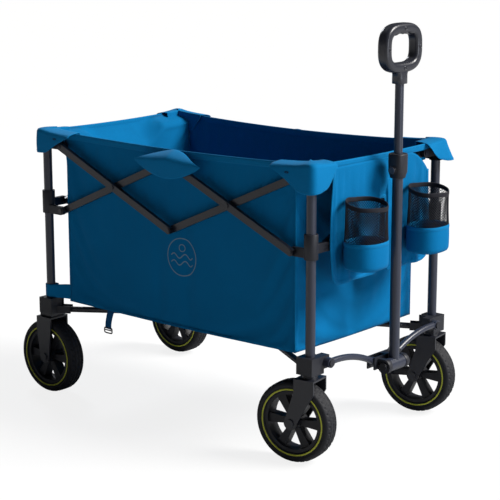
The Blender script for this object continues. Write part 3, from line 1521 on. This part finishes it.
@dataclass
class Wheel:
    """A tyre with a moulded tread and a painted stripe on each side.

    Attributes:
        end: the end that it lies at.
        side: the side that it lies on.
        half: half the tyre's width.
        steps: points round the tyre.
        blocks: tread blocks round the tyre.
        groove: depth of the tread.
    """

    end: End
    side: Side
    half: float = 22 * MM
    steps: int = 320
    blocks: int = 40
    groove: float = 2.8 * MM

    def placed(self, rings: np.ndarray, centre: np.ndarray, heading: float) -> np.ndarray:
        """Turns a wheel made about the Y axis to its heading and moves it to its centre.

        Args:
            rings: the points, with the axle along Y.
            centre: the wheel's centre.
            heading: the turn about Z.

        Returns:
            The points in space.
        """
        c, s = math.cos(heading), math.sin(heading)
        x, y, z = rings[..., 0], rings[..., 1], rings[..., 2]
        return points_at(x * c - y * s, x * s + y * c, z) + centre

    def build(self) -> None:
        """Makes the tyre and its stripes; the rim stays the frame's own."""
        name = tag(self.end, self.side)
        joint = next(j for j in frame["joints"] if j["name"] == f"wheel_{name}_spin")
        centre, axis = np.array(joint["pos_m"], float), joint["axis"]
        heading = math.atan2(-axis[0], axis[1])
        radius = centre[2]
        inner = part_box(f"rim_{name}")[1].z - radius + 0.2 * MM
        tread = self.placed(self.tread(radius, inner), centre, heading)
        tyre = tidied(surface(f"tyre_{name}_tread", tread, TYRE_RUBBER, True, True))
        mount(tyre, f"wheel_{name}")
        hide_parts(f"tyre_{name}")
        turn = np.linspace(0, 2 * math.pi, 128, endpoint=False)
        at = inner + 4.5 * MM
        stripes = []
        for way in (-1, 1):
            line = points_at(np.cos(turn) * at, way * (self.half - 0.7 * MM), np.sin(turn) * at)
            rings = carried(line, oval(3.6 * MM, 1.6 * MM, 8, 2.4), (0, 1, 0), True)
            stripes.append(surface("stripe", self.placed(rings, centre, heading), STRIPE_PAINT,
                                   True, True))
        stripe = tidied(joined(f"tyre_{name}_stripes", stripes))
        mount(stripe, f"wheel_{name}")

    def tread(self, radius: float, inner: float) -> np.ndarray:
        """Moulds the tyre: one cross-section carried round the axle, with the tread cut in.

        Three zigzag grooves run round the tyre, and a slanted one crosses each shoulder block.

        Args:
            radius: the tyre's outer radius.
            inner: its inner radius.

        Returns:
            Its points, steps by section by 3, about the Y axis.
        """
        half = self.half
        left = [(-half + 3 * MM, inner), (-half + 0.6 * MM, inner + 2.5 * MM),
                (-half + 1.2 * MM, inner + 9 * MM), (-half, radius - 9 * MM),
                (-half + 2 * MM, radius - 4 * MM), (-half + 6.5 * MM, radius - 1.0 * MM),
                (-half / 2, radius - 0.2 * MM)]
        section = smooth(left + [(0, radius)] + [(-y, r) for y, r in left[::-1]], 74)
        y, r = section[:, 0][None], section[:, 1][None]
        turn = np.linspace(0, 2 * math.pi, self.steps, endpoint=False)[:, None]
        block = turn * self.blocks / (2 * math.pi)
        saw = 2 * np.abs(block % 1 - 0.5) - 0.5
        lines = [np.abs(y - (middle + swing * saw) * MM)
                 for middle, swing in ((0, 1.6), (-10, -1.6), (10, -1.6))]
        across = np.abs(((block + 0.25 * np.sign(y) + y / (34 * MM)) % 1) - 0.5)
        shoulder = (ease(np.abs(y), 9 * MM, 11 * MM)
                    * (1 - ease(np.abs(y), 16.5 * MM, 18 * MM)))
        cut = np.maximum(1 - ease(np.minimum.reduce(lines), 0.9 * MM, 2.1 * MM),
                         (1 - ease(across, 0.07, 0.14)) * shoulder)
        r = r - self.groove * cut
        return points_at(np.cos(turn) * r, y, np.sin(turn) * r)


# ---- drawbar ---------------------------------------------------------------------------


@dataclass
class Handle:
    """The moulded grip at the top of the drawbar and the collar that locks the sliding tube.

    Attributes:
        neck_height: height of the neck under the ring.
        thick: thickness of the ring's bars.
        bumps: finger bumps under the top bar.
        bump: height of a bump.
        steps: points round the ring.
        bore: the collar's bore for the sliding tube.
        skirt: the collar's bore for the drawbar's tube.
    """

    neck_height: float = 23 * MM
    thick: float = 22 * MM
    bumps: int = 4
    bump: float = 2.4 * MM
    steps: int = 200
    bore: float = 19.4 * MM
    skirt: float = 23.3 * MM

    def ring(self) -> Object:
        """Moulds the ring: a soft-cornered section carried round an oval.

        The finger bumps are a cosine along the underside of the top bar, and the joint of the two
        halves is a narrow bell-shaped groove round the section's middle.

        Returns:
            The ring.
        """
        low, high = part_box("grip_front")
        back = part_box("grip_back")[0]
        wide, tall = high.y - low.y, high.z - low.z - self.neck_height
        middle = low.z + self.neck_height + tall / 2
        flat = oval(wide - self.thick, tall - self.thick, self.steps, 3.1)
        path = points_at((back.x + high.x) / 2, flat[:, 0], middle + flat[:, 1])
        section = oval(self.thick, high.x - back.x, 36, 3.0)
        top = ease(flat[:, 1], 0.2 * tall, 0.3 * tall)
        ripple = np.cos(flat[:, 0] / (0.42 * wide) * self.bumps * math.pi) * 0.5 + 0.5
        inward = self.bump * top * ripple * (np.abs(flat[:, 0]) < 0.26 * wide)
        groove = 0.8 * MM * np.exp(-((section[:, 1] / (0.7 * MM)) ** 2))
        shape = np.repeat(section[None], self.steps, 0)
        shape[..., 0] -= np.sign(shape[..., 0]) * groove[None]
        inside = -1 if self.axis_points_out(path) else 1
        inner = inside * shape[..., 0] > 0.3 * self.thick
        shape[..., 0] += np.where(inner, np.sign(shape[..., 0]) * inward[:, None], 0.0)
        return tidied(endless("grip_ring", path, shape, (1, 0, 0), GRIP_PLASTIC))

    def axis_points_out(self, path: np.ndarray) -> bool:
        """True if the section's first axis points away from the ring's middle."""
        across = np.cross(path[1] - path[0], (1, 0, 0))
        return bool(np.dot(across, path[0] - path.mean(0)) > 0)

    def neck(self) -> Object:
        """Moulds the neck: a round sleeve on the tube that spreads into the foot of the ring.

        Returns:
            The neck.
        """
        low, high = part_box("grip_front")
        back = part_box("grip_back")[0]
        x, y = (back.x + high.x) / 2, (low.y + high.y) / 2
        # Height, width, depth and squareness of the neck at each level.
        levels = [(0.0, 30, 27, 3.0), (0.8, 31.5, 28, 3.0), (12, 31.5, 28, 3.0),
                  (20, 33, 27.5, 2.8), (25, 42, 26.5, 2.6), (29, 60, 24, 2.4), (34, 62, 20, 2.2)]
        rings = []
        for z, width, depth, power in levels:
            shape = oval(width * MM, depth * MM, 40, power)
            rings.append(points_at(x + shape[:, 1], y + shape[:, 0], low.z + z * MM))
        return solid("grip_neck", np.stack(rings), GRIP_PLASTIC)

    def screws(self) -> Object:
        """Sets the four screws of the grip's two halves, each a domed head in a round recess.

        Returns:
            The screws, as one piece.
        """
        low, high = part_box("grip_front")
        tall = high.z - low.z - self.neck_height
        mid_z = low.z + self.neck_height + tall / 2
        half_w, half_h = (high.y - low.y) / 2 - self.thick / 2, tall / 2 - self.thick / 2
        # Radius of each ring of a head, and how far it stands out of the grip's face.
        levels = [(4.4, -1.5), (4.4, 0.35), (3.6, 0.5), (3.3, -0.4), (2.9, -0.4), (2.6, 0.25),
                  (1.3, 0.55)]
        parts = []
        for y, z in ((0.0, mid_z + half_h), (0.0, mid_z - half_h), (-half_w, mid_z),
                     (half_w, mid_z)):
            rings = []
            for radius, out in levels:
                shape = oval(2 * radius * MM, 2 * radius * MM, 24)
                rings.append(points_at(high.x + out * MM, y + shape[:, 0], z + shape[:, 1]))
            parts.append(solid("screw", np.stack(rings), SCREW_STEEL))
        return joined("grip_screws", parts)

    def collar(self) -> Object:
        """Moulds the collar: a square-shouldered sleeve over a narrower skirt, open inside.

        Returns:
            The collar.
        """
        low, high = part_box("drawbar_collar")
        x, y, top = (low.x + high.x) / 2, (low.y + high.y) / 2, high.z - low.z
        bore, skirt = self.bore, self.skirt
        # Height, width and squareness, up the outside and down the bore.
        levels = [(0.0, skirt, 2.0), (0.0, 30 * MM, 2.2), (1 * MM, 32 * MM, 2.3),
                  (7 * MM, 34 * MM, 2.4), (11 * MM, 36 * MM, 2.8), (13 * MM, 36.6 * MM, 3.0),
                  (top - 4 * MM, 37.4 * MM, 3.0), (top - 1.2 * MM, 36.8 * MM, 2.9),
                  (top, 34.5 * MM, 2.8), (top, bore + 3 * MM, 2.2), (top - 1 * MM, bore, 2.0),
                  (top - 8 * MM, bore, 2.0), (top - 8 * MM, skirt, 2.0)]
        rings = []
        for z, width, power in levels:
            shape = oval(width, width, 64, power)
            rings.append(points_at(x + shape[:, 0], y + shape[:, 1], low.z + z))
        return tidied(surface("collar_shell", np.stack(rings), NYLON, True, True))

    def button_bezel(self) -> Object:
        """Moulds the round lip that the lock button moves in.

        Returns:
            The lip.
        """
        low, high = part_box("lock_button")
        x, z = (low.x + high.x) / 2, (low.z + high.z) / 2
        radius = (high.x - low.x) / 2 + 1.4 * MM
        turn = np.linspace(0, 2 * math.pi, 40, endpoint=False)
        line = points_at(x + radius * np.cos(turn), low.y + 3.0 * MM, z + radius * np.sin(turn))
        return tidied(endless("button_bezel", line, oval(2.2 * MM, 2.2 * MM, 10), (0, 1, 0),
                              NYLON))

    def build(self) -> None:
        """Makes the grip and the collar and hangs them on their bodies."""
        ring = self.ring()
        for piece in (ring, self.neck(), self.screws()):
            mount(piece, "handle_slider")
        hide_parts("grip_front", "grip_back")
        collar = self.collar()
        for piece in (collar, self.button_bezel()):
            mount(piece, "drawbar")
        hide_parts("drawbar_collar")


# ---- the frame's own parts and the studio -----------------------------------------------


def dress_frame() -> None:
    """Gives each of the frame's own parts its finish, and rounds the edges of the flat ones."""
    slots = {row["node"]: row["material_slot"] for row in frame["record"]["subparts"]}
    for name, node in frame["nodes"].items():
        node.data.materials.clear()
        node.data.materials.append(SLOT_FINISH[slots[name]].material())
        if slots[name] in EDGE_RADIUS:
            rounded(node, EDGE_RADIUS[slots[name]])


@dataclass(frozen=True)
class Paper(Finish):
    """White studio paper that is lit from behind, so that only soft shadows show on it.

    Attributes:
        glow: share of its own light that the camera sees.
        glow_strength: strength of that light.
    """

    name: str = "white studio paper"
    colour: str = "#bcbdbe"
    tint: str = "#b8b9bb"
    roughness: float = 0.85
    spread: float = 0.1
    grain: float = 3 * MM
    depth: float = 0.01 * MM
    glow: float = 0.72
    glow_strength: float = 1.17

    def dress(self, tree: bpy.types.NodeTree, shader: bpy.types.Node) -> None:
        """Adds the glow, which other surfaces don't receive.

        Args:
            tree: the material's node tree.
            shader: its principled shader.
        """
        super().dress(tree, shader)
        light = add_node(tree, "Emission", {"Color": linear("#ffffff"),
                                            "Strength": self.glow_strength})
        ray = add_node(tree, "LightPath")
        share = add_node(tree, "Math", {1: self.glow}, {0: ray.outputs["Is Camera Ray"]},
                         operation="MULTIPLY")
        both = add_node(tree, "MixShader", links={0: share.outputs[0], 1: shader.outputs[0],
                                                  2: light.outputs[0]})
        tree.links.new(both.outputs[0], tree.nodes["Material Output"].inputs["Surface"])


@dataclass(frozen=True)
class SoftBox:
    """A square soft light that looks at the cart.

    Attributes:
        name: its name.
        at: its place.
        size: its width.
        power: its power, in watts.
        tint: its colour, sRGB hex.
    """

    name: str
    at: tuple[float, float, float]
    size: float
    power: float
    tint: str


@dataclass(frozen=True)
class Studio:
    """The pale floor, the soft lights and the camera.

    Attributes:
        camera_at: the camera's place.
        looks_at: the point that it looks at.
        lens: its focal length, in millimetres.
        key_at: the direction that the key light comes from.
        key_strength: the key light's strength.
        key_spread: its width as seen from the cart, in degrees.
        surround: strength of the light from all round.
        boxes: the soft boxes.
    """

    camera_at: tuple[float, float, float] = (2.3526, -2.7178, 1.1605)
    looks_at: tuple[float, float, float] = (0.1613, -0.1431, 0.4172)
    lens: float = 112.3
    key_at: tuple[float, float, float] = (3.1, 2.0, 3.2)
    key_strength: float = 5.4
    key_spread: float = 28
    surround: float = 0.07
    boxes: tuple[SoftBox, ...] = (SoftBox("side", (3.4, -0.2, 0.9), 1.0, 20, "#eef4ff"),
                                  SoftBox("edge", (-2.6, 1.2, 2.6), 0.7, 34, "#f4f8ff"))

    def place(self, name: str, data: bpy.types.ID, at: Sequence[float],
              target: Sequence[float]) -> Object:
        """Stands a light or the camera at a point and turns it to look at another.

        Args:
            name: its name.
            data: the light or camera.
            at: its place.
            target: the point that it looks at.

        Returns:
            Its object, in the scene.
        """
        item = bpy.data.objects.new(name, data)
        item.location = at
        way = Vector(target) - item.location
        item.rotation_euler = way.to_track_quat("-Z", "Y").to_euler()
        bpy.context.scene.collection.objects.link(item)
        return item

    def light_all_round(self) -> None:
        """Makes the pale surround, which is plain white where the camera sees it."""
        world = bpy.data.worlds.new("studio surround")
        bpy.context.scene.world = world
        world.use_nodes = True
        tree = world.node_tree
        plain = tree.nodes["Background"]
        plain.inputs["Color"].default_value = linear("#e9eef5")
        plain.inputs["Strength"].default_value = self.surround
        seen = add_node(tree, "Background", {"Color": linear("#ffffff"), "Strength": 1.0})
        ray = add_node(tree, "LightPath")
        both = add_node(tree, "MixShader", links={0: ray.outputs["Is Camera Ray"],
                                                  1: plain.outputs[0], 2: seen.outputs[0]})
        tree.links.new(both.outputs[0], tree.nodes["World Output"].inputs["Surface"])

    def build(self) -> None:
        """Makes the floor, the lights, the pale surround and the camera."""
        scene = bpy.context.scene
        span = np.linspace(-40, 40, 3)
        surface("studio_floor", points_at(span[:, None], span[None], 0.0), Paper())
        self.light_all_round()
        sun = bpy.data.lights.new("key", "SUN")
        sun.energy, sun.angle = self.key_strength, math.radians(self.key_spread)
        sun.color = linear("#fffcf7")[:3]
        self.place("key", sun, self.key_at, (0, 0, 0))
        for box in self.boxes:
            data = bpy.data.lights.new(box.name, "AREA")
            data.shape, data.size, data.energy = "SQUARE", box.size, box.power
            data.color = linear(box.tint)[:3]
            self.place(box.name, data, box.at, (0.1, 0.0, 0.35))
        data = bpy.data.cameras.new("camera")
        data.lens, data.sensor_width = self.lens, 36.0
        scene.camera = self.place("camera", data, self.camera_at, self.looks_at)
        scene.view_settings.view_transform = "Standard"


def main() -> None:
    """Builds every sub-assembly in order and reports each; mount reports each piece."""
    logging.basicConfig(level=logging.INFO, format="%(name)s %(message)s")
    sizes, fold, loom = Sizes.measured(), Fold.measured(), Loom()
    Studio().build()
    dress_frame()
    for part in (Tub(sizes, fold, loom), Pockets(sizes, fold, loom), Handle(),
                 *(Wheel(end, side) for end in End for side in Side)):
        part.build()
        log.info("built the %s", type(part).__name__.lower())


if __name__ == "__main__":
    main()
